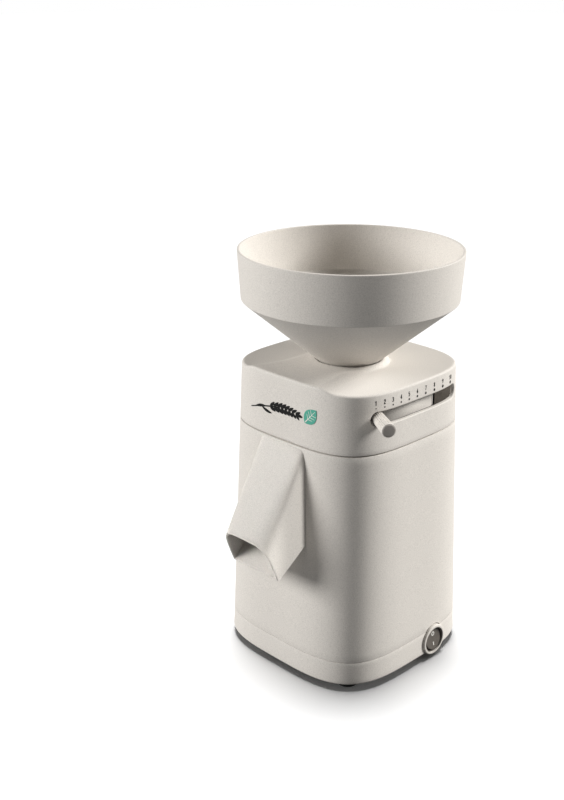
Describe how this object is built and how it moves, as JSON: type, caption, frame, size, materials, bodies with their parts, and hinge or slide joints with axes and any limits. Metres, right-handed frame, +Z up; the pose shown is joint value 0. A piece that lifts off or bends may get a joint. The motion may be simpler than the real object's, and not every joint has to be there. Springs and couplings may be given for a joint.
{
  "type": "stone grain mill",
  "caption": "Electric stone flour mill: round hopper on a tapered square housing, arched flour spout, side lever in a slot for grind fineness, and a round rocker switch low on one side.",
  "frame": {"origin": "on the vertical axis of the stones, shaft and hopper, at the plane the feet stand on", "axes": "+Z up along the stone axis, -Y towards the flour spout, +X towards the side with the adjusting lever and the switch"},
  "size_m": [0.1989, 0.2241, 0.37],
  "materials": {
    "shell_plastic": "fine-textured light grey fibre-filled plastic, satin to matt",
    "cap_plastic": "mid-grey moulded cap, satin",
    "dark_plastic": "near-black moulded plastic",
    "switch_plastic": "dark grey-brown semi-gloss rocker",
    "badge_plastic": "teal enamelled emblem",
    "rubber": "black rubber",
    "felt": "pale wool felt",
    "cast_alloy": "die-cast aluminium, lightly blasted",
    "rotor_alloy": "cast rotor cage",
    "bronze": "machined bronze",
    "ceramic_stone": "corundum grit in a ceramic bond",
    "lamination_steel": "stacked electrical steel sheet",
    "copper_winding": "varnished copper winding",
    "steel": "zinc-plated or ground steel",
    "contact_metal": "tin-plated brass",
    "capacitor_can": "drawn aluminium can",
    "terminal_plastic": "ivory polyamide",
    "brown_wire": "brown wire insulation",
    "blue_wire": "blue wire insulation",
    "green_wire": "green wire insulation"
  },
  "bodies": {
    "housing": {"lower_housing": "shell_plastic", "upper_housing": "shell_plastic", "base_pan": "shell_plastic", "feet": "rubber", "base_screws": "steel", "housing_screws": "steel", "badge": "badge_plastic", "dust_strip": "dark_plastic", "flour_chute": "shell_plastic", "mill_chamber": "cast_alloy", "chamber_screws": "steel", "chamber_gasket": "felt", "thread_ring": "bronze", "shaft_seal": "rubber", "top_bracket": "cast_alloy", "bottom_bracket": "cast_alloy", "stator_core": "lamination_steel", "stator_windings": "copper_winding", "tie_bolts": "steel", "top_bearing_outer": "steel", "bottom_bearing_outer": "steel", "wave_washer": "steel", "thermal_cutout": "dark_plastic", "motor_mounts": "rubber", "mount_screws": "steel", "run_capacitor": "capacitor_can", "capacitor_clip": "steel", "capacitor_screw": "steel", "terminal_block": "terminal_plastic", "power_inlet": "dark_plastic", "inlet_pins": "contact_metal", "inlet_screws": "steel", "mains_wires": "brown_wire", "motor_wires": "blue_wire", "earth_wire": "green_wire", "switch_body": "dark_plastic", "switch_terminals": "contact_metal"},
    "adjuster": {"adjust_ring": "shell_plastic", "lever_stem": "steel", "lever_sleeve": "shell_plastic", "lever_cap": "cap_plastic"},
    "stone_carrier": {"stone_carrier": "cast_alloy", "upper_stone": "ceramic_stone", "stone_screws": "steel"},
    "hopper": {"hopper": "shell_plastic", "finger_guard": "shell_plastic"},
    "rotor": {"motor_shaft": "steel", "rotor_core": "lamination_steel", "rotor_end_rings": "rotor_alloy", "cooling_fan": "dark_plastic", "fan_clip": "steel", "top_bearing_inner": "steel", "bottom_bearing_inner": "steel", "stone_hub": "cast_alloy", "drive_key": "steel", "lower_stone": "ceramic_stone", "feed_nut": "steel"},
    "rocker": {"switch_rocker": "switch_plastic"}
  },
  "joints": [
    {"name": "grind_adjust", "type": "hinge", "parent": "housing", "child": "adjuster", "pos_m": [0, 0, 0.2486], "axis": [0, 0, 1], "range_deg": [0, 62]},
    {"name": "stone_lift", "type": "slide", "parent": "adjuster", "child": "stone_carrier", "axis": [0, 0, 1], "range_m": [0, 0.0021]},
    {"name": "hopper_lift", "type": "slide", "parent": "stone_carrier", "child": "hopper", "axis": [0, 0, 1], "range_m": [0, 0.06]},
    {"name": "mill_spin", "type": "hinge", "parent": "housing", "child": "rotor", "pos_m": [0, 0, 0.2], "axis": [0, 0, 1], "continuous": true},
    {"name": "switch_rock", "type": "hinge", "parent": "housing", "child": "rocker", "pos_m": [0.0855, 0.024, 0.0175], "axis": [0, 1, 0], "range_deg": [0, 16]}
  ],
  "couplings": [
    {"joint": "stone_lift", "follows": "grind_adjust", "m_per_rad": 0.0019099}
  ]
}
